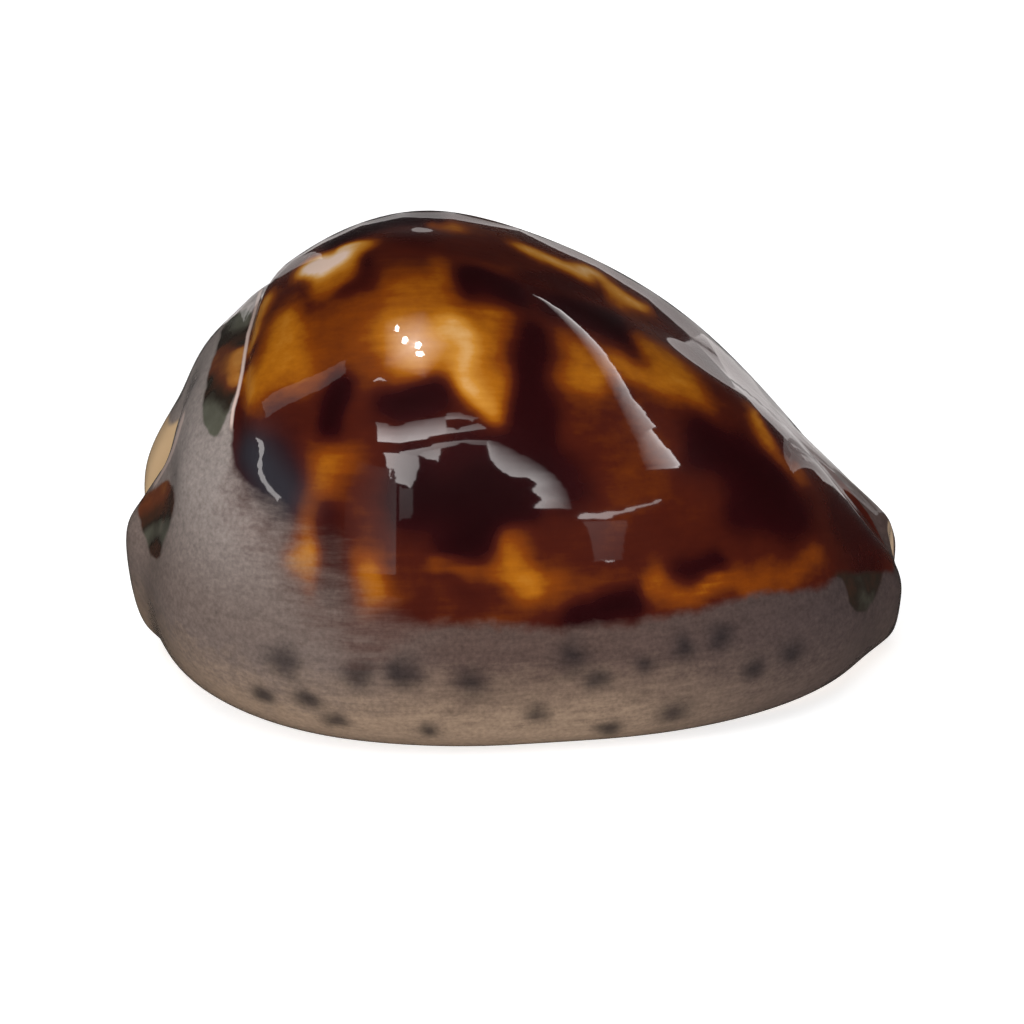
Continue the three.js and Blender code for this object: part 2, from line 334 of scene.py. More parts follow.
def surfaceAlong(controls, steps):  # uniform cubic B-spline down every meridian
    first = np.clip(np.floor(steps).astype(int), 1, len(controls) - 3)
    u = steps - first
    weights = ((1 - u) ** 3, 3 * u ** 3 - 6 * u ** 2 + 4, -3 * u ** 3 + 3 * u ** 2 + 3 * u + 1, u ** 3)
    return sum(weight[:, None, None] / 6 * controls[first - 1 + i] for i, weight in enumerate(weights))


def creasePush(points):
    r = rearCrease
    across = points[..., 1] - r["y"]
    behind = r["x"] + np.where(across > 0, r["curve"] * across ** 2, 0) - points[..., 0]
    fade = np.clip(1 - (across / r["reach"]) ** 4, 0, 1) ** 2 * smooth(points[..., 2], r["low"], r["high"])
    push = sum(amount * np.exp(-((behind - offset) / width) ** 2)
               for offset, amount, width in (r["crease"], r["pocket"], r["collar"]))
    outward = points - np.array(r["heart"])
    outward /= np.linalg.norm(outward, axis=-1)[..., None]
    return points + outward * (push * fade)[..., None]


def shellSurface():
    angle = np.linspace(0, 2 * math.pi, meshSteps["columns"], endpoint=False)
    controls = meridianControls(angle)
    lipStart, insideStart = meshSteps["lipStart"], meshSteps["insideStart"]
    steps = np.concatenate([
        np.arange(1, lipStart, 1 / meshSteps["backPerLevel"]),
        np.arange(lipStart, insideStart, 1 / meshSteps["lipPerLevel"]),
        np.arange(insideStart, len(controls) - 2 + 0.01, 1 / meshSteps["insidePerLevel"]),
    ])
    points = surfaceAlong(controls, steps)
    outside = steps < lipStart
    points[outside] = creasePush(points[outside])
    points[..., 2] = np.clip(points[..., 2] - shellShape["restSink"], 0, None)
    return points, steps, angle


rows, rowSteps, columnAngles = shellSurface()
low, high = rows.reshape(-1, 3).min(0), rows.reshape(-1, 3).max(0)
fit = (solidHigh - solidLow) * 1000 / (high - low)
rows = (rows - low) * fit + solidLow * 1000         # same box as the solid, to the last micron
print("surface computed", rows.shape, "fit to the solid", fit.round(4))


def gridFaces(ringCount, columnCount):
    ring, column = np.meshgrid(np.arange(ringCount - 1), np.arange(columnCount), indexing="ij")
    nextColumn = (column + 1) % columnCount
    corners = (ring * columnCount + column, (ring + 1) * columnCount + column,
               (ring + 1) * columnCount + nextColumn, ring * columnCount + nextColumn)
    return np.stack(corners, -1).reshape(-1, 4)


def shellMesh():
    # The first and last rings are single points, so each becomes one vertex with a fan of triangles
    ringCount, columnCount = rows.shape[:2]
    body = rows[1:-1].reshape(-1, 3)
    vertices = np.vstack([rows[0, 0], body, rows[-1, 0]])
    faces = (gridFaces(ringCount - 2, columnCount) + 1).tolist()
    last = len(vertices) - 1
    startOfLast = last - columnCount
    for i in range(columnCount):
        follow = (i + 1) % columnCount
        faces.append((0, 1 + i, 1 + follow))
        faces.append((last, startOfLast + follow, startOfLast + i))
    mesh = bpy.data.meshes.new("cowrieShell")
    mesh.from_pydata((vertices / 1000).tolist(), [], faces)
    mesh.validate()
    mesh.shade_smooth()
    return mesh, vertices


mesh, vertices = shellMesh()
vertexStep = np.concatenate([[rowSteps[0]], np.repeat(rowSteps[1:-1], len(columnAngles)), [rowSteps[-1]]])
vertexAngle = np.degrees(np.concatenate([[0], np.tile(columnAngles, len(rowSteps) - 2), [0]]))
shell = bpy.data.objects.new("cowrieShell", mesh)
bpy.context.scene.collection.objects.link(shell)
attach(shell, "root")
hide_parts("shell")
finder = BVHTree.FromPolygons([tuple(v) for v in vertices], [tuple(p.vertices) for p in mesh.polygons])
print("shell mesh", len(mesh.vertices), "vertices", len(mesh.polygons), "faces")


def onShell(pixel):  # point of the shell under a point of the photo, or None beside the shell
    eye, direction = rayThrough(pixel)
    place = finder.ray_cast(Vector(eye), Vector(direction))[0]
    return None if place is None else np.array(place)


def overPhoto(points):  # where points of the shell show in the photo
    eye, right, up, back = cameraBasis()
    away = points - eye
    scale = viewSetup["pixelsPerMillimetre"] * viewSetup["distance"] / -(away @ back)
    centre = viewSetup["frameWidth"] / 2
    return np.stack([centre + away @ right * scale, centre - away @ up * scale], -1)


def insideOutline(places, outline):  # pixels to an outline drawn over the photo, positive inside it
    x, y = places.T
    inside = np.zeros(len(places), bool)
    nearest = np.full(len(places), 1e9)
    for start, end in zip(outline, outline[1:] + outline[:1]):
        a, side = np.array(start, float), np.array(end, float) - start
        t = np.clip((places - a) @ side / (side @ side), 0, 1)
        nearest = np.minimum(nearest, np.linalg.norm(places - a - t[:, None] * side, axis=1))
        if side[1]:
            inside ^= ((start[1] > y) != (end[1] > y)) & (x < side[0] * (y - a[1]) / side[1] + a[0])
    return np.where(inside, nearest, -nearest)


def trail(pixels, spacing=5):  # points of the shell along a line drawn over the photo
    found = []
    for start, end in zip(pixels, pixels[1:] or pixels):
        count = max(1, math.ceil(math.dist(start, end) / spacing))
        for i in range(count + 1):
            place = onShell([a + (b - a) * i / count for a, b in zip(start, end)])
            if place is not None:
                found.append(place)
    return np.array(found)


def waves(points, size, seed, count=14):  # smooth wandering values around 0, for natural edges
    random = np.random.default_rng(seed)
    total = 0
    for _ in range(count):
        direction = random.normal(size=3)
        direction *= random.uniform(0.6, 1.6) / np.linalg.norm(direction) * 2 * math.pi / size
        total = total + np.sin(points @ direction + random.uniform(0, 2 * math.pi))
    return total / count ** 0.5


def wander(points, size, reach, seed):
    return points + reach * np.stack([waves(points, size, seed + i) for i in range(3)], -1)


def distanceTo(points, line):
    nearest = np.full(len(points), 1e9)
    for place in line:
        nearest = np.minimum(nearest, ((points - place) ** 2).sum(-1))
    return np.sqrt(nearest)


# Pattern of the back, from near-black (0) through red-brown, amber and honey to pale pink (1); two patches
# are painted glow round the lamps' reflections.
# Each patch: tone, strength, radius in mm, and the line it follows in the photo.
backPatches = {
    "honey by the crease": (0.68, 0.9, 3.4, [(288, 330), (286, 355)]),
    "honey below it": (0.62, 0.8, 2.6, [(300, 372), (275, 378)]),
    "pale honey by the crease": (0.8, 0.85, 1.3, [(264, 303), (255, 325), (251, 345)]),
    "bright honey at the crease": (0.72, 0.85, 1.6, [(248, 375), (250, 398)]),
    # painted highlight: a pale halo round the lamps' dots, painted into the tone
    "painted halo round the lamps": (0.76, 0.75, 3.2, [(400, 335), (425, 352)]),
    "honey round the curl": (0.68, 0.8, 2.6, [(468, 350), (480, 385), (492, 398)]),
    "violet brown": (0.3, 0.8, 2, [(300, 275), (312, 300)]),
    "pink crest": (1.08, 1, 1.9, [(314, 264), (326, 267), (345, 256)]),
    "pink crest tail": (0.93, 0.8, 1.2, [(345, 252), (356, 250)]),
    "amber round the pink": (0.66, 0.6, 1.3, [(318, 285), (336, 280), (358, 264), (366, 250)]),
    "black crest": (0.02, 0.95, 1.6, [(338, 240), (362, 229), (384, 223), (430, 217)]),
    "tan crest": (0.72, 0.75, 1.2, [(432, 222), (458, 226)]),
    "dark below the crest": (0.2, 0.8, 1.8, [(395, 238), (425, 240)]),
    "dark beside the pink": (0.12, 0.8, 1.3, [(374, 262), (356, 286)]),
    "amber of the crown": (0.6, 0.8, 3.2, [(395, 300), (430, 298), (440, 320)]),
    # painted highlight: a paler glow round the lamps' dots, painted into the tone
    "painted sheen round the lamps": (0.74, 0.7, 2.6, [(402, 330), (425, 350)]),
    "amber right of the crown": (0.56, 0.7, 2, [(441, 268), (446, 292)]),
    "amber brown left of the crown": (0.5, 0.7, 3, [(345, 330), (352, 372)]),
    "pale curl": (0.86, 0.9, 1.5, [(452, 326), (462, 345), (468, 378), (477, 396), (497, 408), (508, 413)]),
    "amber outside the curl": (0.62, 0.75, 2, [(485, 315), (492, 345), (498, 385)]),
    "black oval": (0.03, 0.9, 2, [(331, 395), (330, 418)]),
    "black below the crown": (0.05, 0.9, 1.8, [(392, 405), (428, 403)]),
    "violet brown upper": (0.26, 0.8, 2.4, [(462, 250), (515, 254)]),
    "black upper": (0.05, 0.85, 2.2, [(476, 284), (515, 288)]),
    "pale upper strip": (0.84, 0.9, 1.4, [(528, 250), (560, 264), (588, 277), (610, 290), (636, 302)]),
    "pink tan in the strip": (0.92, 0.7, 1.3, [(586, 274), (600, 280)]),
    "honey in the strip": (0.72, 0.7, 1.3, [(603, 290), (616, 300)]),
    "dark red below the strip": (0.2, 0.8, 1.6, [(530, 276), (598, 290)]),
    "black right of the crown": (0.06, 0.85, 2.4, [(565, 305), (610, 322)]),
    "black upper right": (0.04, 0.9, 2, [(615, 330), (648, 345)]),
    "amber right": (0.64, 0.9, 2.4, [(655, 350), (680, 375), (690, 398)]),
    "amber right middle": (0.64, 0.85, 1.9, [(616, 368), (640, 374), (668, 378)]),
    "amber middle": (0.62, 0.85, 2.5, [(578, 352), (582, 378)]),
    "honey middle": (0.68, 0.5, 1.5, [(562, 372), (590, 385)]),
    "dark band": (0.08, 0.85, 2.4, [(530, 335), (536, 400), (540, 465)]),
    "black right": (0.05, 0.85, 3.4, [(712, 445), (765, 480)]),
    "honey spot right": (0.8, 0.9, 1.4, [(752, 416), (764, 433)]),
    "orange strip right": (0.55, 0.75, 1.2, [(768, 440), (800, 478)]),
    "dark strip at the far edge": (0.16, 0.6, 1.6, [(660, 312), (700, 350), (750, 400), (790, 445)]),
    "teal dark": (0.04, 0.85, 3, [(255, 455), (275, 480), (292, 500)]),
    "orange streak": (0.66, 0.75, 1.8, [(338, 452), (325, 472), (311, 500), (304, 540), (300, 565)]),
    "honey at its foot": (0.78, 0.8, 1.6, [(302, 562), (314, 578)]),
    "dark band lower left": (0.1, 0.75, 1.6, [(333, 512), (330, 590)]),
    "brown lower left": (0.4, 0.6, 3, [(368, 470), (370, 550)]),
    "amber lower left": (0.66, 0.85, 2, [(362, 578), (376, 592)]),
    "great dark": (0.02, 0.92, 4.6, [(425, 490), (500, 498), (470, 525)]),
    "amber streak": (0.56, 0.7, 1.1, [(432, 570), (490, 570), (560, 572)]),
    "amber lower middle": (0.66, 0.85, 1.9, [(520, 545), (526, 580)]),
    "amber brown low": (0.52, 0.75, 1.4, [(560, 590), (618, 588)]),
    "black low": (0.04, 0.9, 1.9, [(585, 612), (632, 606)]),
    "amber low right": (0.58, 0.8, 1.4, [(652, 590), (690, 588)]),
    "dark oval right": (0.08, 0.85, 1.4, [(686, 568), (716, 564)]),
    "amber beside the oval": (0.58, 0.8, 1.3, [(702, 588), (738, 585)]),
    "orange brown right": (0.5, 0.8, 1.6, [(742, 580), (815, 560)]),
    "blue dark right": (0.09, 0.8, 2.6, [(745, 505), (795, 515)]),
    "olive front end": (0.2, 0.9, 4, [(845, 520), (868, 540), (866, 585)]),
    "amber brown tip": (0.52, 0.6, 0.9, [(888, 532), (890, 565)]),
    "black middle": (0.07, 0.75, 2.2, [(572, 470), (580, 500)]),
    "brown middle": (0.36, 0.6, 3.4, [(600, 440), (640, 500)]),
    "red brown lower": (0.32, 0.6, 3, [(560, 540), (660, 545)]),
    "dark under the crown": (0.14, 0.7, 2.2, [(470, 440), (520, 445)]),
}
backStyle = {
    "plainTone": 0.33,
    "plainVariation": 0.03,
    "edgeSize": 7, "edgeReach": 0.55,       # how irregular the patches' edges are
    "edgePower": 2.6,                       # how steep they are
    "hiddenSizes": (15, 6),                 # blotches of the side away from the camera, large and small
    "hiddenTone": 0.36, "hiddenVariation": 0.3, "hiddenRange": (0.03, 0.9),
    "seed": 41,
}


normals = np.zeros(len(vertices) * 3)
mesh.vertices.foreach_get("normal", normals)
normals = normals.reshape(-1, 3)
towardsCamera = normals @ cameraBasis()[3]
seen = smooth(towardsCamera, *viewSetup["sideFade"])  # 1 on what the photo shows, 0 on the far side
facingCamera = towardsCamera > viewSetup["facing"]


def paintBack():
    s = backStyle
    shaken = wander(vertices, s["edgeSize"], s["edgeReach"], s["seed"])
    large, small = s["hiddenSizes"]
    blotch = waves(shaken, large, s["seed"] + 9) + 0.5 * waves(shaken, small, s["seed"] + 10)
    hidden = np.clip(s["hiddenTone"] + s["hiddenVariation"] * blotch, *s["hiddenRange"])
    tone = s["plainTone"] + s["plainVariation"] * blotch
    for value, strength, radius, pixels in backPatches.values():
        near = strength * np.exp(-(distanceTo(shaken, trail(pixels)) / radius) ** s["edgePower"])
        tone = tone + (value - tone) * near
    return hidden + (tone - hidden) * seen


# The callus: the grey glaze that covers the margin up to an edge on the flank
callusEdge = [                              # the edge in the photo, from the crest to the front tip
    (258, 292), (246, 318), (240, 350), (238, 380), (233, 430), (231, 462), (240, 492),
    (258, 514), (278, 526), (290, 548), (308, 580), (336, 596), (350, 622), (380, 628), (450, 627),
    (560, 631), (630, 625), (700, 611), (760, 596), (815, 585), (838, 573), (866, 570), (893, 572),
]
farEdge = [                                 # angle round the shell in degrees, and height in mm
    (354, 9.4), (358, 13), (1, 19), (6, 23), (20, 24), (32, 23), (60, 20), (90, 19), (120, 21),
    (135, 26), (146, 30),
]
# Where the callus leaves the back uncovered, as outlines in the photo
islandOutlines = {
    "spire": [(248, 307), (230, 318), (221, 331), (216, 350), (208, 373), (205, 392), (202, 408),
        (204, 424), (210, 435), (216, 438), (222, 427), (229, 411), (231, 404), (237, 392),
        (241, 373), (244, 353), (246, 341), (251, 328), (253, 315)],
    "rear lobe": [(169, 480), (173, 488), (175, 498), (173, 513), (169, 528), (163, 544), (161, 555),
        (157, 559), (151, 556), (148, 544), (142, 530), (139, 517), (138, 506), (142, 497),
        (154, 489), (163, 482)],
    "drip": [(818, 566), (816, 545), (818, 520), (825, 496), (838, 486), (852, 494), (864, 512), (872, 528),
        (881, 545), (884, 566), (880, 584), (874, 600), (866, 611), (857, 612), (850, 604), (847, 588),
        (841, 576), (828, 578)],
}
# Tone there, from greenish grey (0) through near-black and red-brown to amber (1), and where in the photo;
# the greenish grey is a painted reflection
islandTones = [
    (0.1, [(246, 311), (238, 323)]), (0.3, [(222, 337), (240, 338)]), (0.62, [(222, 352), (222, 378)]),
    (0.9, [(238, 358), (235, 380)]), (0.3, [(209, 385), (228, 397)]), (0.06, [(206, 412), (218, 425)]),
    (0.6, [(146, 506), (166, 490)]), (0.4, [(145, 518), (170, 508)]), (0.14, [(151, 532), (165, 526)]),
    (0.36, [(155, 546), (157, 556)]), (0.25, [(825, 510), (860, 515)]), (0.28, [(825, 545), (875, 555)]),
    (0.3, [(852, 580), (876, 580)]), (0.27, [(860, 604), (870, 600)]),
]
paleEdges = {                               # thin light lines, from top to bottom in the photo; the one along the crease is a painted highlight
    "creaseLine": [(262, 285), (254, 315), (248, 335), (245, 353), (242, 373), (238, 392), (233, 410),
        (231, 426)],
    "canalLine": [(184, 414), (179, 430), (174, 447), (168, 462), (161, 474), (154, 486)],
}
callusSpots = [
    (284, 661), (263, 694), (308, 700), (334, 720), (358, 674), (403, 674), (470, 684), (427, 731),
    (537, 715), (574, 657), (596, 680), (611, 729), (645, 666), (674, 713), (684, 648), (720, 638),
    (753, 668), (791, 653),
]
tealPatch = {"radius": 2.4, "line": [(252, 452), (272, 478), (290, 498)]}    # blue-grey, under the crease
callusStyle = {
    "stepSize": 3,                          # mm from one ring of control points to the next, roughly
    "pixelSize": 0.09,                      # mm
    "besideCrease": (-3, 30),               # pixels left of the crease line in which the callus reaches it
    "islandReach": 12, "islandToneRadius": 0.9,
    "lineReach": 9,
    "spotRadius": 1.45, "spotSizes": (0.75, 1.25), "spotSpacing": 3.2,
    "spotEdgeSize": 3, "spotEdgeReach": 0.25,
    "hiddenSpots": 46, "hiddenSpotHeight": (1.5, 13),
    "canalAngle": 171, "canalWidth": 10,    # the cream wall of the rear canal
    "canalStart": (9, 9.6),                 # ring numbers, as the next ones
    "baseStart": (14.2, 15.6), "baseStartInCanal": (3.4, 4.2), "baseCanalMargin": 1.5,
    "insideStart": (19, 21),
    "seed": 7,
}


def nearestVertex(place):
    index = finder.find_nearest(Vector(place))[2]
    corners = list(mesh.polygons[index].vertices)
    return min(corners, key=lambda i: np.linalg.norm(vertices[i] - place))


def rowAtHeight(angle, height):  # where a meridian's outside comes down to a height
    column = round(angle / 360 * len(columnAngles)) % len(columnAngles)
    outside = rowSteps < 14.5
    return float(np.interp(-height, -rows[outside, column, 2], rowSteps[outside]))


def callusDistance():  # how far each point lies inside the callus, in mm
    marks = []
    for pixel in callusEdge:
        place = onShell(pixel)
        if place is not None:
            vertex = nearestVertex(place)
            marks.append((vertexAngle[vertex] % 360, vertexStep[vertex]))
    marks += [(angle, rowAtHeight(angle, height)) for angle, height in farEdge]
    marks.sort()
    angles, steps = np.array(marks).T
    return (vertexStep - np.interp(vertexAngle, angles, steps, period=360)) * callusStyle["stepSize"]


def rightOfLine(line):  # pixels each point shows to the right of a line, and whether within its height
    x, y = overPhoto(vertices).T
    lineX, lineY = np.array(line, float).T
    return x - np.interp(y, lineY, lineX), (y > lineY[0]) & (y < lineY[-1])


def leftOfCrease():  # mm to the left of the crease line; the callus climbs up to it there
    right, within = rightOfLine(paleEdges["creaseLine"])
    least, most = callusStyle["besideCrease"]
    beside = within & (-right > least) & (-right < most) & (towardsCamera > 0)
    return np.where(beside, -right * callusStyle["pixelSize"], -50)


def paintSpots():
    s = callusStyle
    places = [onShell(pixel) for pixel in callusSpots]
    random = np.random.default_rng(s["seed"])
    while len(places) < len(callusSpots) + s["hiddenSpots"]:
        i = random.integers(len(vertices))
        lowest, highest = s["hiddenSpotHeight"]
        fits = seen[i] < 0.05 and vertexStep[i] < 15.5 and lowest < vertices[i, 2] < highest
        if fits and min(np.linalg.norm(vertices[i] - place) for place in places) > s["spotSpacing"]:
            places.append(vertices[i])
    shaken = wander(vertices, s["spotEdgeSize"], s["spotEdgeReach"], s["seed"])
    spots = np.zeros(len(vertices))
    for place in places:
        radius = s["spotRadius"] * random.uniform(*s["spotSizes"])
        spots = np.maximum(spots, np.exp(-(distanceTo(shaken, [place]) / radius) ** 2))
    return spots


def paintIslands():  # pixels inside the bare places, and the tone there
    reach = callusStyle["islandReach"]
    places = overPhoto(vertices)
    depth = np.max([insideOutline(places, outline) for outline in islandOutlines.values()], axis=0)
    bare = np.where(facingCamera, np.clip(depth, -reach, reach), -reach)
    tone, total = 0, 1e-9
    for value, pixels in islandTones:
        near = np.exp(-(distanceTo(vertices, trail(pixels)) / callusStyle["islandToneRadius"]) ** 2)
        tone = tone + near * value
        total = total + near
    return bare, tone / total


def paint(name, values):
    layer = mesh.attributes.new(name, "FLOAT", "POINT")
    layer.data.foreach_set("value", np.asarray(values, dtype=np.float32))


paint("tone", paintBack())
print("back painted")
paint("callus", np.maximum(callusDistance(), leftOfCrease()))
paint("spots", paintSpots())
bare, bareTone = paintIslands()
paint("island", bare)
paint("islandTone", bareTone)
style = callusStyle
for name, line in paleEdges.items():
    right, within = rightOfLine(line)
    paint(name, np.clip(right, -10, 10))
    paint(name + "Shown", within & (np.abs(right) < style["lineReach"]) & facingCamera)
paint("teal", np.exp(-(distanceTo(vertices, trail(tealPatch["line"])) / tealPatch["radius"]) ** 2))
canalWall = np.exp(-(np.abs(vertexAngle - style["canalAngle"]) / style["canalWidth"]) ** 6)
paint("canalCream", canalWall * smooth(vertexStep, *style["canalStart"]))
canalShare = sum(swell(np.radians(vertexAngle), where, width + style["baseCanalMargin"], 4)
                 for where, width, *_ in canals.values())
baseStart, baseFull = (start - less * canalShare for start, less in zip(
    style["baseStart"], style["baseStartInCanal"]))
paint("base", smooth(vertexStep, baseStart, baseFull))
paint("inside", smooth(vertexStep, *style["insideStart"]))
print("margin and base painted")


# Shader maths reads as plain expressions: a Wire wraps one output of a node
class Wire:
    def __init__(self, tree, socket):
        self.tree = tree
        self.socket = socket

    def node(self, kind, settings=None, inputs=None, output=0):
        return addNode(self.tree, kind, settings, inputs, output)

    def math(self, operation, first, second=0.0):
        return self.node("Math", {"operation": operation}, {0: first, 1: second})

    def __add__(self, other):
        return self.math("ADD", self, other)

    def __radd__(self, other):
        return self.math("ADD", other, self)

    def __sub__(self, other):
        return self.math("SUBTRACT", self, other)

    def __rsub__(self, other):
        return self.math("SUBTRACT", other, self)

    def __mul__(self, other):
        return self.math("MULTIPLY", self, other)

    def __rmul__(self, other):
        return self.math("MULTIPLY", other, self)

    def __truediv__(self, other):
        return self.math("DIVIDE", self, other)

    def size(self):
        return self.math("ABSOLUTE", self)

    def limit(self):  # held between 0 and 1
        return self.node("Clamp", None, {0: self})

    def edge(self, start, end):  # 0 below start, 1 above end, smooth between
        settings = {"interpolation_type": "SMOOTHSTEP"}
        return self.node("MapRange", settings, {0: self, 1: start, 2: end})


def addNode(tree, kind, settings=None, inputs=None, output=0):
    node = tree.nodes.new("ShaderNode" + kind)
    for name, value in (settings or {}).items():
        if name == "stops":
            placeStops(node.color_ramp, value)
        else:
            setattr(node, name, value)
    for name, value in (inputs or {}).items():
        if isinstance(value, Wire):
            tree.links.new(value.socket, node.inputs[name])
        else:
            node.inputs[name].default_value = value
    return Wire(tree, node.outputs[output])


def placeStops(ramp, stops):
    while len(ramp.elements) < len(stops):
        ramp.elements.new(1)
    for element, (place, colour) in zip(ramp.elements, stops):
        element.position = place
        element.color = (*colour, 1)


def mixColour(factor, first, second):
    tint = [value if isinstance(value, Wire) else (*value, 1) for value in (first, second)]
    return factor.node("Mix", {"data_type": "RGBA"}, {0: factor, 6: tint[0], 7: tint[1]}, 2)


glaze = {
    "toneColours": [
        (0.0, (0.006, 0.0004, 0.0009)), (0.17, (0.017, 0.0015, 0.002)), (0.33, (0.05, 0.007, 0.003)),
        (0.5, (0.16, 0.034, 0.002)), (0.62, (0.3, 0.095, 0.004)), (0.76, (0.45, 0.19, 0.025)),
        (0.87, (0.56, 0.33, 0.13)), (1.0, (0.66, 0.49, 0.4)),
    ],
    "tealDark": (0.024, 0.027, 0.034),
    "callusBrown": (0.19, 0.12, 0.1),
    "callusGrey": (0.31, 0.232, 0.2),
    "callusTan": (0.52, 0.36, 0.25),
    "callusViolet": (0.12, 0.085, 0.083),
    # painted sheen: pale grey that lightens the upper rear callus
    "callusPaintedSheen": (0.6, 0.51, 0.47),
    "canalCream": (0.5, 0.34, 0.19),
    # colour of the pale canal line and of the painted highlight along the crease
    "paleLineAndHighlight": (0.66, 0.5, 0.44),
    "spot": (0.038, 0.03, 0.032),
    # the greenish grey first stop is a painted reflection
    "islandColours": [
        (0.0, (0.1, 0.1, 0.075)), (0.3, (0.02, 0.014, 0.01)), (0.6, (0.1, 0.028, 0.012)),
        (0.85, (0.3, 0.11, 0.02)), (1.0, (0.42, 0.2, 0.05)),
    ],
    "base": (0.42, 0.3, 0.2),
    "inside": (0.5, 0.37, 0.24),
    "grainScale": 0.55,
    "fineScale": 2.6,
    "streakScale": 1.5,
    "streakStretch": (0.12, 0.8, 1),
    "backVariation": (0.12, 0.03, 0.12),    # grain, fine, streaks
    "tealStrength": 0.7,
    "edgeWidth": 0.35,                      # edge of the callus, in mm
    "edgeGrain": 0.9,
    "featherLength": (-7, -16),             # where the edge thins out in streaks, along and up the shell
    "featherHeight": (27, 23),
    "featherWidth": 3.6,
    "featherStreaks": 5,
    "greyLength": (-4, -20),                # grey towards the rear, violet towards the front
    "violetLength": (2, 34),
    "tanTop": 11.5,
    "tanFade": 7,
    "tanLessLength": (4, 30),
    # where the painted sheen lies, by height and along the shell
    "sheenHeight": (13, 26),
    "sheenLength": (-17, -27),
    "spotStrength": 0.9,
    "mottle": (0.35, 0.25),                 # fine, streaks
    "lineStrengths": {"creaseLine": 0.75, "canalLine": 0.6},
    "lineEdge": (0.6, 2.4),                 # pixels from the line's middle
    "bump": 0.12,
    "bumpHeight": 0.0002,
    "roughness": 0.34,
    "softShine": 0.04,
    "clearCoat": 1.0,
    "coatIor": 1.45,
    "clearCoatRoughness": 0.03,
}


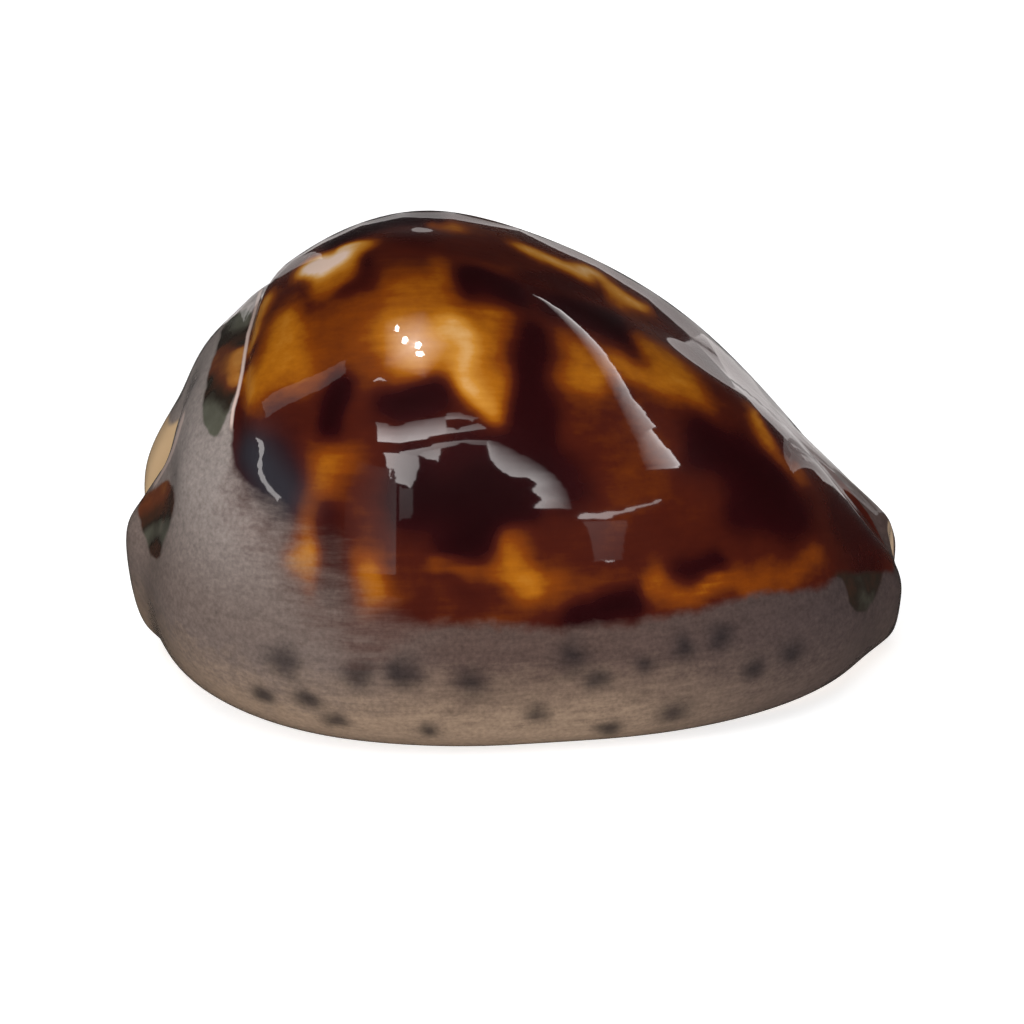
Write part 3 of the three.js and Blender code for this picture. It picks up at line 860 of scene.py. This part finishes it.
def glazeMaterial():
    g = glaze
    material = bpy.data.materials.new("cowrieGlaze")
    material.use_nodes = True
    tree = material.node_tree
    tree.nodes.clear()

    def attribute(name):
        return addNode(tree, "Attribute", {"attribute_name": name}, None, 2)

    def noise(place, scale, detail=3, roughness=0.55):
        inputs = {"Vector": place, "Scale": scale, "Detail": detail, "Roughness": roughness}
        return addNode(tree, "TexNoise", None, inputs) - 0.5

    metres = addNode(tree, "TexCoord", None, None, 3)
    place = addNode(tree, "VectorMath", {"operation": "MULTIPLY"}, {0: metres, 1: (1000, 1000, 1000)})
    stretched = addNode(tree, "VectorMath", {"operation": "MULTIPLY"}, {0: place, 1: g["streakStretch"]})
    parts = addNode(tree, "SeparateXYZ", None, {0: place})
    length = Wire(tree, parts.socket.node.outputs[0])
    side = Wire(tree, parts.socket.node.outputs[1])
    height = Wire(tree, parts.socket.node.outputs[2])

    grain = noise(place, g["grainScale"], 4)
    fine = noise(place, g["fineScale"])
    streaks = noise(stretched, g["streakScale"], 4, 0.6)

    # The back
    tone = attribute("tone")
    byGrain, byFine, byStreaks = g["backVariation"]
    variation = grain * byGrain + fine * byFine + streaks * byStreaks
    tone = tone + variation * (tone.edge(0.1, 0.45) * 0.8 + 0.2)
    back = addNode(tree, "ValToRGB", {"stops": g["toneColours"]}, {0: tone})
    back = mixColour(attribute("teal") * g["tealStrength"], back, g["tealDark"])

    # The callus, and where it covers the back
    feather = length.edge(*g["featherLength"]) * height.edge(*g["featherHeight"])
    width = g["edgeWidth"] + feather * g["featherWidth"]
    edgeNoise = grain * g["edgeGrain"] + feather * (streaks * g["featherStreaks"] + 0.3)
    covered = ((attribute("callus") + edgeNoise) / width).edge(-1, 1)
    rearShare = (length.edge(*g["greyLength"]) + grain * 0.3).limit()
    margin = mixColour(rearShare, g["callusBrown"], g["callusGrey"])
    tanShare = ((g["tanTop"] - height) / g["tanFade"] + grain * 0.8 + streaks * 0.5).limit()
    tanShare = tanShare * (1 - length.edge(*g["tanLessLength"]) * 0.65)
    margin = mixColour(tanShare, margin, g["callusTan"])
    violetShare = (length.edge(*g["violetLength"]) * 0.9 + grain * 0.2).limit()
    violetShare = violetShare * (1 - tanShare * 0.5) * side.edge(3, -3)
    margin = mixColour(violetShare, margin, g["callusViolet"])
    # Painted sheen: the upper rear of the callus is lightened towards pale grey, standing in for a soft
    # reflection
    paintedSheenShare = height.edge(*g["sheenHeight"]) * length.edge(*g["sheenLength"]) * 0.95
    margin = mixColour(paintedSheenShare, margin, g["callusPaintedSheen"])
    spotted = (attribute("spots") * 1.05 + grain * 0.2 - 0.1).limit() * g["spotStrength"]
    margin = mixColour(spotted, margin, g["spot"])
    mottle = 1 + fine * g["mottle"][0] + streaks * g["mottle"][1]
    margin = mixColour((mottle - 0.6).limit(), (0, 0, 0), margin)

    # The canal wall, the bare places, the thin pale lines (the crease one a painted highlight), the base and
    # the inside
    margin = mixColour((attribute("canalCream") + grain * 0.15).edge(0.2, 0.8), margin, g["canalCream"])
    islandTone = attribute("islandTone") + grain * 0.25
    bareColour = addNode(tree, "ValToRGB", {"stops": g["islandColours"]}, {0: islandTone})
    margin = mixColour((attribute("island") + grain * 4).edge(-1.5, 1.5), margin, bareColour)
    colour = mixColour(covered, back, margin)
    # the crease line paints a highlight along the ridge; the canal line is a pale rim
    for name, strength in g["lineStrengths"].items():
        line = 1 - (attribute(name) + grain * 0.8).size().edge(*g["lineEdge"])
        colour = mixColour(line * attribute(name + "Shown") * strength, colour, g["paleLineAndHighlight"])
    colour = mixColour((attribute("base") + grain * 0.3).edge(0.25, 0.75), colour, g["base"])
    colour = mixColour(attribute("inside"), colour, g["inside"])

    ripples = noise(stretched, 0.8, 2) + grain * 0.3
    bump = addNode(tree, "Bump", None, {
        "Strength": g["bump"], "Distance": g["bumpHeight"], "Height": ripples,
    })
    surface = addNode(tree, "BsdfPrincipled", None, {
        "Base Color": colour,
        "Roughness": g["roughness"],
        "Specular IOR Level": g["softShine"],
        "Coat Weight": g["clearCoat"],
        "Coat IOR": g["coatIor"],
        "Coat Roughness": g["clearCoatRoughness"],
        "Normal": bump,
    })
    tree.links.new(surface.socket, tree.nodes.new("ShaderNodeOutputMaterial").inputs[0])
    return material


shell.data.materials.append(glazeMaterial())
print("glaze made")

# Pale floor, and soft light
studio = {
    "floorColour": (0.8, 0.8, 0.8),
    "floorRoughness": 0.9,
    "floorGlow": 0.6,                       # bounce from the pale floor round the shell
    "floorReach": 4,
    "sky": 0.02,
    "cardTint": (1, 0.95, 0.94),
}
fills = {                                   # place, direction, size in metres, watts
    "left fill": ((-0.7, -0.25, 0.35), (0.7, 0.25, -0.33), (0.5, 0.5), 2),
    "overhead fill": ((-0.1, -0.25, 0.8), (0.1, 0.25, -0.77), (0.7, 0.7), 5),
    "front fill": ((0.25, -0.85, 0.3), (-0.25, 0.85, -0.28), (0.6, 0.4), 5.5),
}


def makeFloor():
    material = bpy.data.materials.new("floor")
    material.use_nodes = True
    surface = material.node_tree.nodes["Principled BSDF"]
    surface.inputs["Base Color"].default_value = (*studio["floorColour"], 1)
    surface.inputs["Roughness"].default_value = studio["floorRoughness"]
    surface.inputs["Emission Color"].default_value = (1, 1, 1, 1)
    surface.inputs["Emission Strength"].default_value = studio["floorGlow"]
    reach = studio["floorReach"]
    plane = bpy.data.meshes.new("floor")
    plane.from_pydata([(-reach, -reach, 0), (reach, -reach, 0), (reach, reach, 0), (-reach, reach, 0)],
                      [], [(0, 1, 2, 3)])
    plane.materials.append(material)
    floor = bpy.data.objects.new("floor", plane)
    floor.visible_glossy = False            # the glaze mirrors the cards below instead
    bpy.context.scene.collection.objects.link(floor)
    floor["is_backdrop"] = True


makeFloor()
world = bpy.data.worlds.new("studio")
world.use_nodes = True
world.node_tree.nodes["Background"].inputs["Color"].default_value = (1, 1, 1, 1)
world.node_tree.nodes["Background"].inputs["Strength"].default_value = studio["sky"]
bpy.context.scene.world = world
bpy.context.scene.view_settings.view_transform = "Standard"


def addFill(name, place, direction, size, watts):  # lights the colours, and isn't seen in the glaze
    light = bpy.data.lights.new(name, "AREA")
    light.shape = "RECTANGLE"
    light.size, light.size_y = size
    light.energy = watts
    lamp = bpy.data.objects.new(name, light)
    lamp.location = place
    lamp.rotation_euler = Vector(direction).to_track_quat("-Z", "Y").to_euler()
    lamp.visible_camera = False
    lamp.visible_glossy = False
    bpy.context.scene.collection.objects.link(lamp)


def mirrorPoint(pixel, distance):  # where in the room the glaze mirrors from, at a point of the photo
    eye, direction = rayThrough(pixel)
    place, _, index, _ = finder.ray_cast(Vector(eye), Vector(direction))
    if place is None:
        return None
    corners = list(mesh.polygons[index].vertices)
    share = 1 / (np.linalg.norm(vertices[corners] - np.array(place), axis=1) + 0.02)
    facing = (normals[corners] * share[:, None]).sum(0)
    facing /= np.linalg.norm(facing)
    return (np.array(place) + (direction - 2 * (direction @ facing) * facing) * distance) / 1000


def glowMaterial():
    material = bpy.data.materials.new("paleCard")
    material.use_nodes = True
    tree = material.node_tree
    tree.nodes.clear()
    glow = addNode(tree, "Attribute", {"attribute_name": "glow"})
    shine = addNode(tree, "Emission", None, {"Color": glow})
    tree.links.new(shine.socket, tree.nodes.new("ShaderNodeOutputMaterial").inputs[0])
    return material


paleCard = glowMaterial()


def glowCard(name, points, faces, glow):  # a pale card of the room, seen only in the glaze
    card = bpy.data.meshes.new(name)
    card.from_pydata([tuple(point) for point in points], [], faces)
    colours = np.outer(glow, (*studio["cardTint"], 1)).astype(np.float32)
    card.attributes.new("glow", "FLOAT_COLOR", "POINT").data.foreach_set("color", colours.ravel())
    card.materials.append(paleCard)
    board = bpy.data.objects.new(name, card)
    for ray in ("camera", "diffuse", "shadow", "transmission"):
        setattr(board, "visible_" + ray, False)
    bpy.context.scene.collection.objects.link(board)
    board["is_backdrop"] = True


def mirroredCard(name, first, second, bright, fade=1.0, power=1.0, distance=600, across=6, spacing=3):
    # Fills the space between two lines drawn over the photo; the brightness runs from the start to the
    # end of the first line, and falls to a share of it at the second line
    first, second = np.array(first, float), np.array(second, float)
    count = max(6, round(np.linalg.norm(np.diff(first, axis=0), axis=1).sum() / spacing))
    at = np.linspace(0, len(first) - 1, count)
    first, second = (np.stack([np.interp(at, range(len(line)), line[:, i]) for i in (0, 1)], -1)
                     for line in (first, second))
    points, glow, number = [], [], {}
    for i in range(count):
        for j in range(across + 1):
            t = j / across
            point = mirrorPoint(first[i] + (second[i] - first[i]) * t, distance)
            if point is not None:
                number[i, j] = len(points)
                points.append(point)
                along = bright[0] + (bright[1] - bright[0]) * i / (count - 1)
                glow.append(along * (1 + (fade - 1) * t ** power))
    faces = []
    for i in range(count - 1):
        for j in range(across):
            corners = [(i, j), (i + 1, j), (i + 1, j + 1), (i, j + 1)]
            if all(corner in number for corner in corners):
                faces.append([number[corner] for corner in corners])
    glowCard(name, points, faces, glow)


def ring(centre, radii, count=12):  # an oval line over the photo
    turns = np.linspace(0, 2 * math.pi, count + 1)
    return [(centre[0] + radii[0] * math.cos(turn), centre[1] + radii[1] * math.sin(turn)) for turn in turns]


# Reflections of the room, drawn over the photo: two lines, brightness at both ends, and where it isn't
# even, the share left at the second line and how steeply it falls
cards = {
    "streak": ([(533, 294), (545, 300), (562, 311), (583, 329), (602, 349), (618, 372), (632, 397),
        (641, 408), (650, 419), (656, 426), (651, 429), (657, 437), (668, 449), (680, 463),
        (678, 468)],
        [(533, 295), (544, 302), (558, 315), (576, 335), (591, 356), (605, 379), (617, 402),
        (624, 416), (629, 427), (634, 437), (637, 443), (639, 451), (641, 460), (645, 467),
        (646, 471)],
        (9, 15), 0.02, 0.4),
    "upper window left": ([(378, 441), (400, 443), (426, 438), (446, 434)],
        [(376, 422), (396, 426), (416, 421), (446, 416)], (12, 9), 0.15),
    "upper window top": ([(446, 420), (459, 419), (472, 421)], [(446, 414), (460, 413), (480, 418)],
        (6, 3), 0.3),
    "upper window low": ([(446, 434), (462, 432), (486, 428)], [(446, 428), (458, 429), (478, 423)],
        (7, 3), 0.7),
    "left pane": ([(384, 453), (387, 465), (390, 479), (400, 484), (410, 487)],
        [(417, 455), (419, 463), (418, 470), (415, 480), (411, 487)], (9, 8), 0.6),
    "bridge": ([(400, 452), (417, 449), (442, 443), (466, 440), (488, 441)],
        [(400, 456), (419, 455), (440, 449), (462, 443), (487, 445)], (7, 2), 0.8),
    "small pane": ([(419, 454), (426, 459), (431, 460)], [(440, 448), (440, 455), (438, 461)], (6, 8)),
    "right pane": ([(487, 444), (491, 460), (502, 472), (515, 477), (528, 477), (537, 484), (532, 491),
        (542, 499), (534, 507)],
        [(488, 440), (503, 444), (520, 453), (538, 463), (553, 473), (561, 482), (566, 490),
        (569, 498), (572, 508)], (8, 9), 0.05),
    "low strip": ([(577, 518), (584, 519), (594, 518), (606, 519), (619, 514), (638, 509), (662, 501)],
        [(578, 516), (586, 513), (598, 514), (608, 511), (618, 511), (637, 506), (662, 499)],
        (8, 5)),
    "pane under the strip": ([(584, 522), (591, 540), (594, 562)], [(628, 520), (624, 540), (622, 560)],
        (0.9, 0.6), 0.7),
    "glint under it": ([(601, 560), (608, 563), (615, 561)], [(602, 559), (608, 561), (614, 560)], (10, 10)),
    "grey pane left": ([(397, 470), (397, 505), (397, 575)], [(358, 462), (345, 500), (345, 572)],
        (0.7, 1), 0.15, 0.7),
    "grey pane below the window": ([(399, 487), (399, 520)], [(412, 488), (412, 519)], (1, 0.7)),
    "grey band": ([(262, 402), (276, 391), (300, 381), (322, 372), (345, 360)],
        [(266, 418), (284, 406), (304, 397), (324, 388), (346, 373)], (0.9, 0.9)),
    "left glint": ([(256, 437), (262, 440), (265, 450), (262, 461), (263, 474), (270, 485), (281, 498)],
        [(259, 446), (259, 452), (260, 457), (257, 464), (260, 478), (267, 490), (277, 501)],
        (7, 7)),
    "crumb": ([(373, 381), (379, 376), (387, 381)], [(374, 382), (380, 380), (386, 382)], (8, 8)),
    "halo": (ring((414, 345), (1, 1)), ring((414, 345), (38, 38)), (12, 12), 0, 0.5, 700),
}
lamps = {                                   # centre and radii of each bright dot
    "lamp one": ((397, 328), (2.6, 3.8)),
    "lamp two": ((405, 340), (3.6, 4.4)),
    "lamp three": ((418, 345), (4.2, 4.2)),
    "lamp four": ((420, 354), (4.6, 3)),
}
lampGlow = 60
# The pale floor behind, mirrored along the far rim: inner edge, the way out to the outline,
# brightness at both ends, share left at the outline
rims = {
    "rim front": ([(520, 231), (558, 250), (597, 267), (647, 298), (689, 335), (731, 380), (766, 419),
        (800, 453), (823, 481), (836, 488), (848, 490), (860, 499), (870, 511), (880, 513)],
        (0.6, -0.8), (1.3, 1.5), 0.3),
    "rim rear": ([(244, 322), (253, 305), (266, 288), (292, 261), (323, 243), (360, 226), (403, 217),
        (453, 219), (520, 231)], (-0.35, -0.9), (1.2, 1.3), 0.3),
}


def rimBeyond(pixel, outward, most=30):  # the last point of the shell on the way out to the outline
    def outBy(reach):
        return pixel[0] + outward[0] * reach, pixel[1] + outward[1] * reach

    reach = 0
    while reach < most and onShell(outBy(reach)) is not None:
        reach += 0.25
    return outBy(reach - 0.35)


for name, card in cards.items():
    mirroredCard(name, *card)
for name, (centre, radii) in lamps.items():
    mirroredCard(name, ring(centre, (0.2, 0.2)), ring(centre, radii), (lampGlow, lampGlow))
for name, (line, outward, bright, fade) in rims.items():
    outline = [rimBeyond(pixel, outward) for pixel in line]
    mirroredCard(name, line, outline, bright, fade, power=0.5, across=10)
print("reflections placed")

for name, fill in fills.items():
    addFill(name, *fill)
print("studio lit")

sizeLow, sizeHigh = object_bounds()
str({"cad": [list(solidLow), list(solidHigh)],
                "visual": [list(sizeLow), list(sizeHigh)]}).replace("'", '"').replace("np.float64", "")
